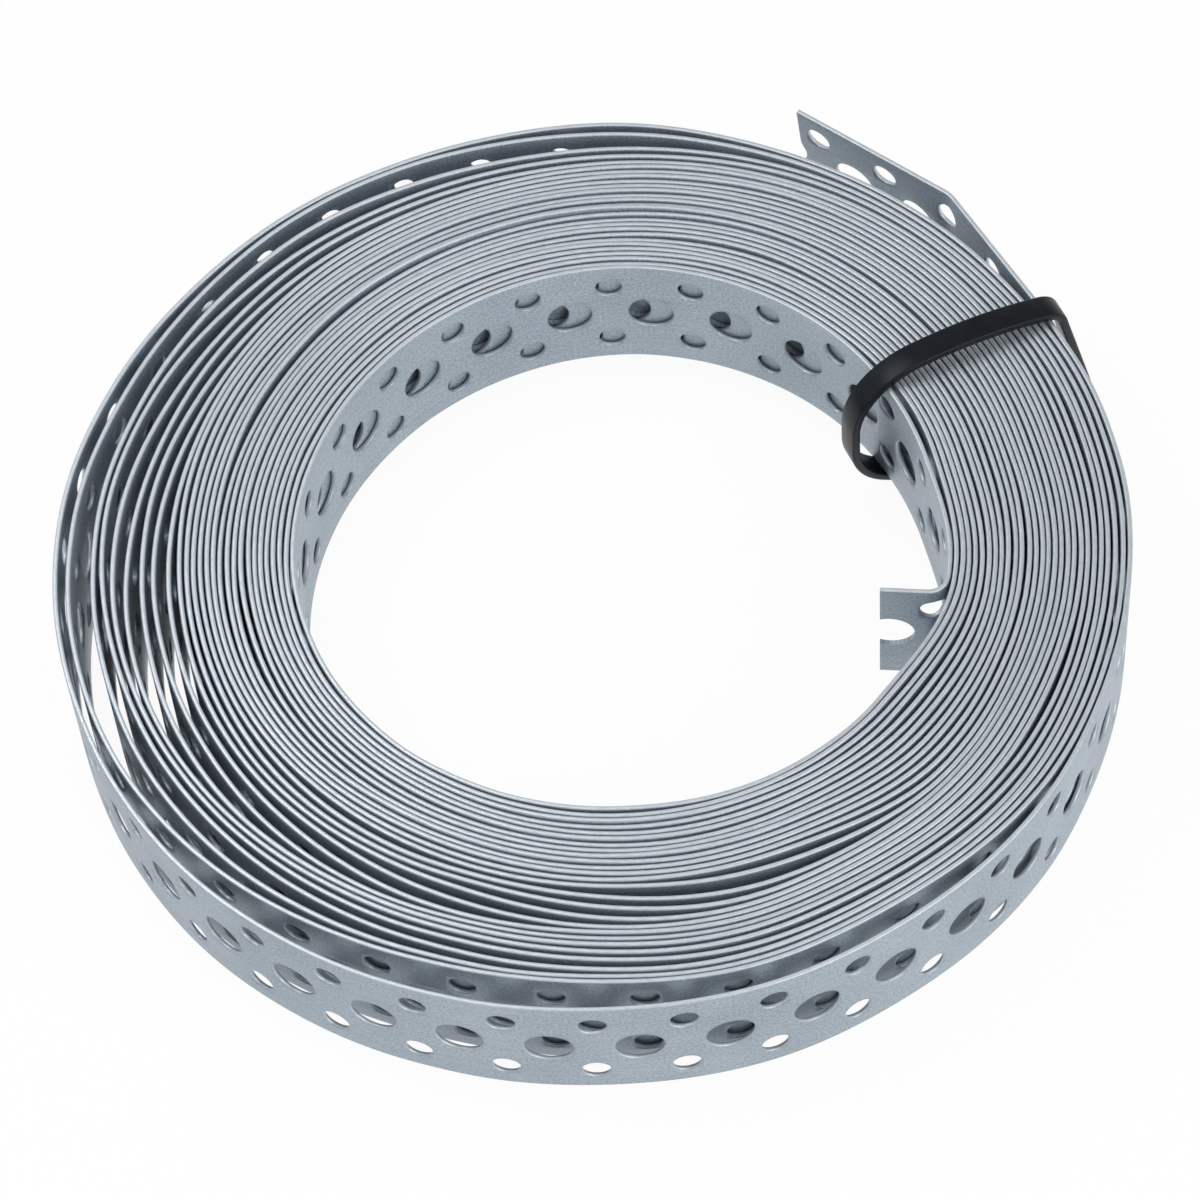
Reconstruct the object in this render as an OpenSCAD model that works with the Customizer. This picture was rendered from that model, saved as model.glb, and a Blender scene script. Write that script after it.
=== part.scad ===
// Roll of perforated steel strap, lying flat and held by a cable tie round its section.
// Millimetres, +Z up. The straight outer end of the strap runs along X and faces +Y.

/* [Strap] */
// Width of the strap
strap_w = 20; // [16:1:26]
// Thickness of the strap
strap_t = 0.8; // [0.6:0.05:1]

/* [Holes] */
// Distance from one large hole to the next along the strap
hole_pitch = 11.2; // [10:0.1:14]
// Diameter of the large holes on the centre line
large_d = 6.2; // [5:0.1:7]
// Diameter of the small holes, in pairs midway between the large ones
small_d = 3.6; // [3:0.1:4]
// Distance of the small holes from the centre line
small_off = 5.7; // [5:0.1:6]
// Distance of the first small pair from the cut at the outer end
outer_cut = 3.3; // [2.5:0.1:5]
// Distance of the first large hole from the cut at the inner end
inner_cut = 1.3; // [0.5:0.1:2.5]

/* [Roll] */
// Diameter of the bore inside the innermost turn
bore_d = 82.6; // [76:0.2:100]
// Number of turns wound tight on each other
tight_turns = 23; // [15:1:28]
// Number of loose turns outside them
loose_turns = 4; // [2:1:6]
// Gap between turns where they lie on each other
turn_gap = 0.08; // [0.04:0.01:0.12]
// Slack of the outermost turn on the side away from the tie
slack = 8.3; // [6:0.1:12]
// Width of the seam between two tight turns, seen on the ends of the roll
seam_w = 0.32; // [0.2:0.02:0.4]
// Depth of that seam
seam_depth = 0.4; // [0.2:0.05:0.8]
// Half of the sector at the tie in which the loose turns are pressed together
pressed_angle = 30; // [25:1:40]

/* [Outer end] */
// Angle at which the outer end leaves the roll
leave_angle = 64.5; // [61:0.5:67]
// Straight run from the roll to the bend
run_len = 22.4; // [20:0.1:26]
// Radius of the bend at mid thickness
outer_bend_r = 6; // [4:0.5:9]
// Straight length from the bend to the cut
outer_len = 26; // [24:0.5:36]

/* [Inner end] */
// Angle at which the inner end turns into the bore
inner_angle = 26; // [15:1:32]
// Angle of its bend
inner_bend = 83; // [75:1:90]
// Radius of that bend at mid thickness
inner_bend_r = 2.6; // [2:0.1:4]
// Straight length from the bend to the cut
inner_len = 4.8; // [4:0.1:7]

/* [Cable tie] */
// Angle of the tie round the roll
tie_angle = 67.5; // [66:0.5:72]
// Angle by which the tie lies askew of the roll's radius
tie_skew = 4.5; // [0:0.5:6]
// Width of the band
tie_w = 3.6; // [3:0.1:5]
// Thickness of the band
tie_t = 1.2; // [1:0.1:1.6]
// Distance that the band stands off inside the bore
tie_bore_slack = 5.2; // [4:0.1:7]
// Distance that the band stands off outside the roll
tie_outer_slack = 3.6; // [2.5:0.1:5]
// Further distance that it stands off at the foot of its outer side
tie_lean = 2.4; // [0:0.2:3]
// Radius of the band's arch over the roll
tie_arch_r = 45; // [40:5:90]
// Radius of the band where it turns from the arch into the bore
tie_bore_turn = 8; // [6:0.5:9]
// Radius of the band where it turns from the arch to the outside
tie_outer_turn = 5; // [4:0.5:6]
// Height of the head under the roll
head_h = 5.8; // [4.5:0.1:7]
// Length of the head along the band
head_l = 6.4; // [5:0.1:9]
// Width of the head across the band
head_w = 7.6; // [6.5:0.1:9]
// Corner chamfer of the head
head_chamfer = 0.8; // [0.4:0.1:1.2]

/* [Hidden] */
$fn = 96;

// Overlap that fuses the free ends with the turns they come from
weld = 0.03;
// Length that a cut runs past a face
past = 1;
// Length that a hole runs past each face of the strap
reach = 0.12;
// How the slack is shared among the loose turns
slack_power = 1.2;
// Clearance of a hole in the second turn from the pressed sector
hole_clear = 6;
// Steps round each corner of the band, the bend of the outer end and that of the inner end
corner_steps = 10;
bend_steps = 6;
curl_steps = 12;
// Width and depth of the slit in the head, with the cut end of the band inside it
slit_t = 1.8;
slit_w = tie_w + 0.4;
slit_depth = 0.7;
// Clearance of the band from the upper corners of the roll
clear = 0.05;

bore_r = bore_d / 2;
turn_pitch = strap_t + turn_gap;
tight_r = bore_r + tight_turns * turn_pitch - turn_gap;
edge_r = tight_r + loose_turns * turn_pitch;
tie_middle = (bore_r + edge_r) / 2;
base_z = head_h;

function dir(a) = [cos(a), sin(a)];
function arc_angle(length, radius) = length / radius * 180 / PI;

// Outer radius and centre of a loose turn; turn 0 is the outside of the tight turns
function turn_slack(k) = slack * pow(k / loose_turns, slack_power) / 2;
function turn_r(k) = tight_r + k * turn_pitch + turn_slack(k);
function turn_c(k) = -turn_slack(k) * dir(tie_angle);

roll_r = turn_r(loose_turns);
roll_c = turn_c(loose_turns);
outer_mid_r = roll_r - strap_t / 2;
inner_mid_r = bore_r + strap_t / 2;

// Outer end: off the roll, round the bend, then straight along -X to the cut
leave_p = roll_c + (outer_mid_r - weld) * dir(leave_angle);
bend_p = leave_p + run_len * dir(leave_angle + 90);
outer_bend = 90 - leave_angle;
bend_c = bend_p - outer_bend_r * dir(leave_angle);
bend_len = outer_bend_r * outer_bend * PI / 180;
tail_p = bend_c + outer_bend_r * dir(90);
turn_start = outer_len + bend_len + run_len;
outer_turn_len = 2 * PI * outer_mid_r;

// Inner end: off the innermost turn, round its bend, then straight into the bore
curl_c = (inner_mid_r + weld - inner_bend_r) * dir(inner_angle);
curl_p = curl_c + inner_bend_r * dir(inner_angle - inner_bend);
curl_heading = inner_angle - 90 - inner_bend;
curl_len = inner_bend_r * inner_bend * PI / 180;
inner_start = inner_len + curl_len;

// The part's origin is under the middle of its box
middle = [roll_c.x, (roll_c.y - roll_r + tail_p.y + strap_t / 2) / 2];

// Point at mid thickness and angle of the outer face on the free outer end, at a length from its cut
function free_spot(s) =
    s < outer_len ? [tail_p + [s - outer_len, 0], 90]
    : s < outer_len + bend_len ?
        let (a = 90 - arc_angle(s - outer_len, outer_bend_r)) [bend_c + outer_bend_r * dir(a), a]
    : [leave_p + (turn_start - s) * dir(leave_angle + 90), leave_angle];

// The same on the outer end and the outermost turn
function outer_spot(s) = s < turn_start ? free_spot(s) : turn_spot(loose_turns, s - turn_start);

// The same on a loose turn, at a length from the angle at which the outer end leaves
function turn_spot(k, s) =
    let (r = turn_r(k) - strap_t / 2, a = leave_angle - arc_angle(s, r)) [turn_c(k) + r * dir(a), a];

// The same on the bent inner end, at a length from its cut
function curl_spot(s) =
    s < inner_len ? [curl_p + (inner_len - s) * dir(curl_heading), inner_angle - inner_bend]
    : let (a = inner_angle - inner_bend + arc_angle(s - inner_len, inner_bend_r))
        [curl_c + inner_bend_r * dir(a), a];

// The same on the inner end and the innermost turn
function inner_spot(s) =
    s < inner_start ? curl_spot(s)
    : let (a = inner_angle + arc_angle(s - inner_start, inner_mid_r)) [inner_mid_r * dir(a), a];

function turned_from_tie(a) = abs(((a - tie_angle) % 360 + 540) % 360 - 180);

// One hole square to the strap
module hole(spot, z, d) {
    translate([spot[0].x, spot[0].y, z])
        rotate([0, 0, spot[1]])
            rotate([0, 90, 0])
                cylinder(d = d, h = strap_t + 2 * reach, center = true);
}

module large_hole(spot) {
    hole(spot, strap_w / 2, large_d);
}

module small_pair(spot) {
    for (side = [-1, 1])
        hole(spot, strap_w / 2 + side * small_off, small_d);
}

// Holes of the outer end and the outermost turn, counted from the outer cut, up to the stretch
// that the outer end covers as it leaves the roll
module outer_holes() {
    covered = sqrt(2 * roll_r * strap_t) + large_d / 2;
    count = floor((turn_start + outer_turn_len - covered - outer_cut) / hole_pitch);
    for (j = [0:count - 1]) {
        large_hole(outer_spot(outer_cut + (j - 0.5) * hole_pitch));
        small_pair(outer_spot(outer_cut + j * hole_pitch));
    }
}

// Holes of the turn inside it, where it stands free
module second_holes() {
    second_len = 2 * PI * (turn_r(loose_turns - 1) - strap_t / 2);
    first = ceil((turn_start + outer_turn_len - outer_cut) / hole_pitch);
    for (j = [0:floor(second_len / hole_pitch) - 1]) {
        at = outer_cut + (first + j) * hole_pitch - turn_start - outer_turn_len;
        pair = turn_spot(loose_turns - 1, at);
        single = turn_spot(loose_turns - 1, at + hole_pitch / 2);
        if (turned_from_tie(pair[1]) > pressed_angle + hole_clear)
            small_pair(pair);
        if (turned_from_tie(single[1]) > pressed_angle + hole_clear)
            large_hole(single);
    }
}

// Holes of the inner end and the innermost turn, counted from the inner cut
module inner_holes() {
    count = floor((inner_start + 2 * PI * inner_mid_r - inner_cut) / hole_pitch);
    for (j = [0:count - 1]) {
        large_hole(inner_spot(inner_cut + j * hole_pitch));
        small_pair(inner_spot(inner_cut + (j + 0.5) * hole_pitch));
    }
}

// Open space between a loose turn and the turn inside it, closed in the pressed sector
module loose_gap(k) {
    far = 2 * roll_r;
    difference() {
        translate([turn_c(k).x, turn_c(k).y, -past])
            cylinder(r = turn_r(k) - strap_t, h = strap_w + 2 * past);
        translate([turn_c(k - 1).x, turn_c(k - 1).y, -2 * past])
            cylinder(r = turn_r(k - 1), h = strap_w + 4 * past);
        translate([turn_c(k).x, turn_c(k).y, -2 * past])
            linear_extrude(height = strap_w + 4 * past)
                polygon([[0, 0], for (side = [-1, 0, 1]) far * dir(tie_angle + side * pressed_angle)]);
    }
}

// Section of the seams on one end of the roll, one notch at each given radius
module seam_section(radii) {
    for (r = radii)
        polygon([[r - seam_w / 2, 0], [r, -seam_depth], [r + seam_w / 2, 0], [r, seam_depth]]);
}

// Seams between the tight turns, and between the loose ones where they are pressed together
module seams() {
    pressed = pressed_angle - 1;
    rotate_extrude()
        seam_section([for (j = [1:tight_turns - 1]) bore_r + j * turn_pitch - turn_gap / 2]);
    for (k = [1:loose_turns])
        translate([turn_c(k).x, turn_c(k).y, 0])
            rotate([0, 0, tie_angle - pressed])
                rotate_extrude(angle = 2 * pressed)
                    seam_section([turn_r(k) - strap_t - turn_gap / 2]);
}

// The wound turns: one turned solid with its bore, its seams and the gaps between its loose turns
module roll() {
    difference() {
        translate([roll_c.x, roll_c.y, 0])
            cylinder(r = roll_r, h = strap_w);
        translate([0, 0, -past])
            cylinder(r = bore_r, h = strap_w + 2 * past);
        for (k = [1:loose_turns])
            loose_gap(k);
        for (z = [0, strap_w])
            translate([0, 0, z])
                seams();
    }
}

// Length of strap through spots at mid thickness
module strip(spots) {
    last = len(spots) - 1;
    linear_extrude(height = strap_w)
        polygon([
            for (p = spots) p[0] + strap_t / 2 * dir(p[1]),
            for (i = [last:-1:0]) spots[i][0] - strap_t / 2 * dir(spots[i][1])
        ]);
}

module outer_end() {
    steps = [for (i = [0:bend_steps]) outer_len + bend_len * i / bend_steps];
    strip([for (s = concat([0], steps, [turn_start])) free_spot(s)]);
}

module inner_end() {
    steps = [for (i = [0:curl_steps]) inner_len + curl_len * i / curl_steps];
    strip([for (s = concat([0], steps)) curl_spot(s)]);
}

// Rise of a turn of the band that just clears the roll's corner
function clear_rise(r, stand_off) = r + clear - sqrt(r * r - (stand_off - r) * (stand_off - r));

// Outline round the section of the roll, grown outwards; x is the distance from the bore's axis.
// Its corners are arcs, the arch is an arc that runs into both upper ones
module loop_outline(grow) {
    near = bore_r - tie_bore_slack;
    far = edge_r + tie_outer_slack;
    foot_r = tie_outer_slack;
    bore_rise = clear_rise(tie_bore_turn, tie_bore_slack);
    outer_rise = clear_rise(tie_outer_turn, tie_outer_slack);
    bore_top = [near + tie_bore_turn, strap_w + bore_rise - tie_bore_turn];
    outer_top = [far - tie_outer_turn, strap_w + outer_rise - tie_outer_turn];
    outer_foot = [far + tie_lean - foot_r, foot_r];
    span = outer_top - bore_top;
    to_bore = tie_arch_r - tie_bore_turn;
    to_outer = tie_arch_r - tie_outer_turn;
    along = (to_bore * to_bore - to_outer * to_outer + span * span) / (2 * norm(span));
    below = sqrt(to_bore * to_bore - along * along);
    arch_c = bore_top + (along * span + below * [span.y, -span.x]) / norm(span);
    bore_end = atan2(bore_top.y - arch_c.y, bore_top.x - arch_c.x);
    outer_end = atan2(outer_top.y - arch_c.y, outer_top.x - arch_c.x);
    side = outer_top - outer_foot;
    lean = atan2(side.y, side.x) - acos((foot_r - tie_outer_turn) / norm(side));
    arcs = [
        [[bore_r, tie_bore_slack], tie_bore_slack, 180, 270],
        [outer_foot, foot_r, 270, 360 + lean],
        [outer_top, tie_outer_turn, lean, outer_end],
        [arch_c, tie_arch_r, outer_end, bore_end],
        [bore_top, tie_bore_turn, bore_end, 180]
    ];
    polygon([
        for (c = arcs, i = [0:corner_steps])
            c[0] + (c[1] + grow) * dir(c[2] + (c[3] - c[2]) * i / corner_steps)
    ]);
}

// Head of the tie on the run under the roll, with the slit that takes the cut end
module tie_head() {
    half_l = head_l / 2;
    half_w = head_w / 2;
    c = head_chamfer;
    difference() {
        translate([tie_middle, 0, -head_h])
            linear_extrude(height = head_h - tie_t / 2)
                polygon([
                    [half_l, half_w - c], [half_l - c, half_w], [c - half_l, half_w], [-half_l, half_w - c],
                    [-half_l, c - half_w], [c - half_l, -half_w], [half_l - c, -half_w], [half_l, c - half_w]
                ]);
        translate([tie_middle - slit_t / 2, -slit_w / 2, -head_h - past])
            cube([slit_t, slit_w, slit_depth + past]);
    }
}

module strap() {
    color([0.63, 0.68, 0.71])
        translate([-middle.x, -middle.y, base_z])
            difference() {
                union() {
                    roll();
                    outer_end();
                    inner_end();
                }
                outer_holes();
                second_holes();
                inner_holes();
            }
}

module cable_tie() {
    color([0.07, 0.07, 0.08])
        translate([-middle.x, -middle.y, base_z])
            rotate([0, 0, tie_angle])
                translate([tie_middle, 0, 0])
                    rotate([0, 0, -tie_skew])
                        translate([-tie_middle, 0, 0]) {
                            rotate([90, 0, 0])
                                translate([0, 0, -tie_w / 2])
                                    linear_extrude(height = tie_w)
                                        difference() {
                                            loop_outline(tie_t);
                                            loop_outline(0);
                                        }
                            tie_head();
                        }
}

strap();
cable_tie();
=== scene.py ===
import logging
import math
from dataclasses import dataclass, field, replace
from enum import Enum

import bpy
import numpy as np
from mathutils import Matrix, Vector


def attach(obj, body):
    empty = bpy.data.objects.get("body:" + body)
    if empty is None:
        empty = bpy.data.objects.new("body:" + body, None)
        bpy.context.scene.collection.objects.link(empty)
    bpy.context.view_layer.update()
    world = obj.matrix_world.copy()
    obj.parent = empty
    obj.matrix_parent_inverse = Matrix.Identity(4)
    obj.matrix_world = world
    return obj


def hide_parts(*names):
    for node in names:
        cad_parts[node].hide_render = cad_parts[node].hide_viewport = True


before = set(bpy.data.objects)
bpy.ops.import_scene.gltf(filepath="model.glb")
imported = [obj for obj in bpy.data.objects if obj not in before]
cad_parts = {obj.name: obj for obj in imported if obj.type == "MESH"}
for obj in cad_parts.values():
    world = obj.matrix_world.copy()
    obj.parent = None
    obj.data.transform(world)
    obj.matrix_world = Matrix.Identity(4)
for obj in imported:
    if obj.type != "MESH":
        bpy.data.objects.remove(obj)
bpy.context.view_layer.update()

LOG = logging.getLogger("strap_roll")
MM = 0.001
STRAP_UV = "strap"
UV_UNIT = 100.0
EDGE_SHARE = "edge_share"
STRONG_NOISE = (0.35, 0.65)
SOFT_NOISE = (0.3, 0.7)
BORE_AXIS = (1.588, 2.081)
TIE_ANGLE = 67.5
STRAP_W = 20.0
ROLL_BOTTOM = 5.8
WHITE = (1.0, 1.0, 1.0, 1.0)

Array = np.ndarray
Socket = bpy.types.NodeSocket
Piece = bpy.types.Object
Colour = tuple[float, float, float, float]
Vector3 = tuple[float, float, float]
Range = tuple[float, float]


def lump(offset: Array, spread: float) -> Array:
    """Raised cosine: 1 at no offset, falling smoothly to 0 at the spread on each side.

    Args:
        offset: Distance from the middle of the lump.
        spread: Distance at which the lump ends.

    Returns:
        Height of the lump, from 0 to 1.
    """
    return 0.5 + 0.5 * np.cos(np.pi * np.clip(np.abs(offset) / spread, 0.0, 1.0))


def heading(degrees: Array | float) -> Array:
    """Unit vectors in plan at these angles, with the two coordinates on the last axis."""
    turned = np.radians(degrees)
    return np.stack([np.cos(turned), np.sin(turned)], axis=-1)


class Detail(Enum):
    """Divisions of a stretch of strap: on a side of a hole, across an edge, and the rim's width."""

    FINE = (8, 7, 0.14)
    CLEAR = (5, 5, 0.12)
    PLAIN = (4, 5, 0.0)
    COARSE = (3, 5, 0.0)

    @property
    def sides(self) -> int:
        """Segments on each side of the square round a hole."""
        return self.value[0]

    @property
    def edge_steps(self) -> int:
        """Segments across the rounded edge of the strap."""
        return self.value[1]

    @property
    def rim(self) -> float:
        """Width of the rounded rim of a hole, in millimetres."""
        return self.value[2]


@dataclass(frozen=True)
class Gap:
    """Place where a turn stands off the turn inside it.

    Attributes:
        turn: Number of the turn that stands off, counted from the innermost, which is 0.
        angle: Middle of the gap, in degrees in plan.
        spread: Degrees from the middle to where the gap closes.
        opening: Width that the gap gains at its middle, in millimetres; under 0 it closes up.
    """

    turn: int
    angle: float
    spread: float
    opening: float


def gaps(turn: int, *places: tuple[float, float, float]) -> tuple[Gap, ...]:
    """The gaps of one turn, each given as its angle, spread and opening."""
    return tuple(Gap(turn, *place) for place in places)


@dataclass(frozen=True)
class Lift:
    """Place where a turn stands proud of its neighbours.

    Attributes:
        turn: Number of the turn, counted from the innermost, which is 0.
        angle: Middle of the place, in degrees in plan.
        spread: Degrees from the middle to where the turn lies level again.
        height: Height at the middle, in millimetres.
    """

    turn: int
    angle: float
    spread: float
    height: float


CLOSE_PLACE = (356, 40, -0.045)
LOOSE_PLACES = (
    gaps(1, (58, 32, 0.5))
    + gaps(4, (3, 28, 0.4))
    + gaps(5, (1, 28, 0.25))
    + gaps(6, (359, 28, 0.25))
    + gaps(7, (357, 28, 0.2))
    + gaps(8, (355, 28, 0.25))
    + gaps(9, (353, 28, 0.2))
    + gaps(10, (353, 26, 0.25))
    + gaps(12, (84, 34, 0.3), (186, 45, 0.5), (347, 22, 0.2))
    + gaps(13, (331, 26, 0.85))
    + gaps(14, (271, 34, 0.6), (319, 36, 1.1), CLOSE_PLACE)
    + gaps(15, (253, 22, 0.15), (313, 30, 0.75), CLOSE_PLACE)
    + gaps(16, (247, 28, 0.2), (302, 31, 0.65), CLOSE_PLACE)
    + gaps(17, (243, 30, 0.25), (290, 31, 0.8), CLOSE_PLACE)
    + gaps(18, (233, 38, 0.65), (277, 32, 1.15), CLOSE_PLACE)
    + gaps(19, (219, 36, 0.9), (259, 32, 1.1), CLOSE_PLACE)
    + gaps(20, (207, 36, 0.75), (247, 33, 1.3), (9, 26, 0.4))
    + gaps(21, (52, 24, 0.2), (189, 34, 0.75), (229, 32, 1.4), (336, 52, 0.2), (356, 40, 0.2))
    + gaps(22, (167, 34, 0.65), (209, 34, 1.2), (276, 30, 0.2), (317, 54, 0.3), (356, 40, 0.16))
    + gaps(23, (54, 22, 0.2), (147, 36, 0.45), (195, 42, 1.4), (287, 58, 0.6), CLOSE_PLACE)
    + gaps(24, (123, 36, 0.5), (167, 38, 1.3), (226, 40, 0.25), (263, 54, 1.2), CLOSE_PLACE)
    + gaps(25, (50, 24, 0.15), (152, 66, 2.5), (226, 62, 2.45))
    + gaps(26, (127, 28, 0.9), (196, 34, 0.6), (227, 72, 0.8), (279, 44, 1.15))
    + gaps(26, (300, 65, 2.45), (341, 34, 1.0))
    + gaps(27, (44, 20, 0.15), (70, 9, 0.6))
)


@dataclass(frozen=True)
class Path:
    """Centre line of the strap in plan, in millimetres.

    Attributes:
        length: Length from the inner cut at each spot.
        spot: Points in plan, one row each.
        outward: Unit vectors in plan away from the bore.
        lift: Height above where the strap lies level.
        lean: Distance out for each millimetre below the upper edge.
        flat_marks: Lengths on the flat strap that are laid on the marks of the path.
        path_marks: Lengths of those marks on the path.
    """

    length: Array
    spot: Array
    outward: Array
    lift: Array
    lean: Array
    flat_marks: Array = field(default_factory=lambda: np.array([0.0, 1.0]))
    path_marks: Array = field(default_factory=lambda: np.array([0.0, 1.0]))

    @classmethod
    def through(cls, spot: Array, lift: Array, lean: Array) -> "Path":
        """Measures the line through these spots.

        The outward side is the direction of travel turned a quarter turn clockwise.

        Args:
            spot: Points of the line in plan, one row each.
            lift: Height of the strap at each spot, above where it lies level.
            lean: Distance that it leans outwards there, for each millimetre below its upper edge.

        Returns:
            The measured line.
        """
        step = np.hypot(*np.diff(spot, axis=0).T)
        length = np.concatenate([[0.0], np.cumsum(step)])
        travel = np.gradient(spot, length, axis=0)
        travel /= np.linalg.norm(travel, axis=1, keepdims=True)
        return cls(length, spot, np.stack([travel[:, 1], -travel[:, 0]], axis=1), lift, lean)

    def place(self, along: Array, height: Array, out: Array, top: float) -> Array:
        """Carries points of the flat strap to the wound one.

        A length of the flat strap goes to the path between the marks on each side of it. A point
        goes to the spot there, moved outwards by its distance from mid thickness and by the lean,
        and up by the lift.

        Args:
            along: Length from the inner cut, on the flat strap.
            height: Height above the lower edge of the part's box.
            out: Distance from mid thickness, outwards.
            top: Height of the upper edge.

        Returns:
            Points in space, one row each, in millimetres.
        """
        reach = np.interp(along, self.flat_marks, self.path_marks)
        x, y, nx, ny, up, lean = (
            np.interp(reach, self.length, column)
            for column in (*self.spot.T, *self.outward.T, self.lift, self.lean)
        )
        out = out + lean * (top - height)
        return np.stack([x + out * nx, y + out * ny, height + up], axis=1)


@dataclass(frozen=True)
class Winding:
    """Plan of the roll: a spiral from the bent inner end to the free outer end.

    Lengths are in millimetres and angles in degrees in plan.

    Attributes:
        centre: Axis of the bore.
        turns: Whole turns of the spiral.
        steps: Points on each turn.
        start: Angle at which the spiral starts from the inner bend.
        leave: Angle at which the outer end leaves it.
        turn_room: Distance from one turn to the next where they lie close.
        first_r: Radius of the innermost turn at mid thickness.
        start_bump: Rise of that turn at its start, over the bump's spread.
        rise_spread: Angle over which that turn climbs on its own start.
        first_lumps: Where else it stands out: angle, spread and height.
        least_gap: Gap that is left everywhere.
        uneven_gap: Most that the uneven winding adds, with the step, seed and power of its drift.
        pressed: Where the turns are pressed together: angle, spread and share of the gap lost.
        sway: Range over which each turn sways on its own, level at the ends of the spiral.
        lift_most: Most that a turn rides up, level at the ends over the angles of lift_ends.
        tie_angle: Angle of the tie, under which the turns lie level over the spread of tie_level.
        loose: Gaps between the turns.
        proud: Turns that stand proud.
        hole_marks: Number of a large hole, its turn and the angle at which it lies.
        inner_bend: Angle of the inner bend.
        inner_lean: Lean of the inner end, and outer_lean that of the outer end.
        run_q: Distance of the run that leaves the roll from the bore's axis.
        tail_q: Distance of the outer end from the bore's axis.
        lean_share: Share of the outer end over which it starts to lean.
    """

    centre: tuple[float, float] = BORE_AXIS
    turns: int = 27
    steps: int = 720
    start: float = 25.0
    leave: float = 67.35
    turn_room: float = 0.785
    first_r: float = 41.5
    start_bump: float = 1.55
    bump_spread: float = 26.0
    rise_spread: float = 28.0
    first_lumps: tuple[tuple[float, float, float], ...] = (
        (52, 34, -0.3),
        (125, 55, 0.2),
        (240, 70, 0.85),
        (345, 42, 0.6),
        (359, 27, 0.2),
    )
    least_gap: float = 0.012
    uneven_gap: float = 0.34
    uneven_step: float = 32.0
    uneven_seed: int = 11
    uneven_power: float = 4.0
    pressed: tuple[tuple[float, float, float], ...] = (
        (20, 24, 0.35),
        (75, 38, 0.4),
        (142, 60, 0.8),
        (315, 60, 0.2),
    )
    sway: float = 0.1
    sway_step: float = 11.0
    sway_seed: int = 5
    sway_power: float = 1.0
    sway_ends: float = 30.0
    lift_most: float = 0.5
    lift_step: float = 48.0
    lift_seed: int = 3
    lift_power: float = 2.0
    lift_ends: tuple[float, float] = (60.0, 90.0)
    tie_angle: float = TIE_ANGLE
    tie_level: float = 45.0
    loose: tuple[Gap, ...] = LOOSE_PLACES
    proud: tuple[Lift, ...] = (Lift(12, 140.0, 75.0, 0.75),)
    hole_marks: tuple[tuple[float, int, float], ...] = (
        (5, 0, 90.2),
        (10, 0, 166.9),
        (31, 1, 125.3),
        (-71.5, 25, 143.6),
        (-54.5, 25, 299.1),
        (-34.5, 26, 142.8),
        (-21, 26, 263.1),
        (-17, 26, 299.1),
        (-9, 26, 14.7),
    )
    inner_bend: float = 83.0
    inner_bend_r: float = 2.6
    inner_len: float = 6.0
    inner_lean: float = -0.021
    inner_steps: int = 11
    inner_bend_steps: int = 16
    run_q: float = 65.32
    tail_q: float = 68.87
    outer_bend_r: float = 4.0
    outer_len: float = 24.2
    outer_lean: float = 0.12
    lean_share: float = 1 / 3
    outer_steps: int = 29
    outer_bend_steps: int = 12

    @property
    def outer_bend_c(self) -> Array:
        """Middle of the outer bend, from the bore's axis: its radius inside both straights."""
        run_x, run_y = heading(self.leave)
        y = self.tail_q - self.outer_bend_r
        return np.array([(self.run_q - self.outer_bend_r - y * run_y) / run_x, y])

    def from_start(self, angle: float) -> float:
        """Angle wound from the start of the spiral to this angle in plan, within one turn."""
        return (angle - self.start) % 360

    @staticmethod
    def drift(wound: Array, step: float, seed: int, power: float) -> Array:
        """Uneven winding: seeded values at even steps, eased from one to the next.

        Args:
            wound: Angle from the start of the spiral.
            step: Angle from one value to the next.
            seed: Seed of the values.
            power: Power that the even values are raised to; above 1 most of them lie near 0.

        Returns:
            Values from 0 to 1.
        """
        at = wound / step
        first = np.floor(at).astype(int)
        knots = np.random.default_rng(seed).random(first[-1] + 2) ** power
        ease = (at - first) ** 2 * (3 - 2 * (at - first))
        return knots[first] + (knots[first + 1] - knots[first]) * ease

    def gap(self, wound: Array) -> Array:
        """Gap under the strap at each angle wound.

        The turns lie close on each other with an uneven gap, smaller where they are pressed
        together, and the loose places add their openings; both fade as raised cosines.

        Args:
            wound: Angle from the start of the spiral.

        Returns:
            Gap between the strap and the turn inside it.
        """
        plan = (wound + self.start) % 360
        slack = np.ones_like(wound)
        for angle, spread, share in self.pressed:
            slack -= share * lump(plan - angle, spread)
        uneven = self.drift(wound, self.uneven_step, self.uneven_seed, self.uneven_power)
        gap = self.least_gap + self.uneven_gap * uneven * slack
        for place in self.loose:
            middle = 360 * place.turn + self.from_start(place.angle)
            gap = gap + place.opening * lump(wound - middle, place.spread)
        return gap

    def lifted(self, wound: Array) -> Array:
        """Height of the strap above where it lies level, at each angle wound.

        The turns ride up unevenly, a few stand proud as raised cosines, and all lie level at
        both ends and under the tie.

        Args:
            wound: Angle from the start of the spiral.

        Returns:
            Heights in millimetres.
        """
        lift = self.lift_most * self.drift(wound, self.lift_step, self.lift_seed, self.lift_power)
        for place in self.proud:
            middle = 360 * place.turn + self.from_start(place.angle)
            lift = lift + place.height * lump(wound - middle, place.spread)
        under = ((wound + self.start - self.tie_angle + 180) % 360) - 180
        level = 1 - lump(under, self.tie_level)
        inner, outer = self.lift_ends
        return lift * level * (1 - lump(wound, inner)) * (1 - lump(wound[-1] - wound, outer))

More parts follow.
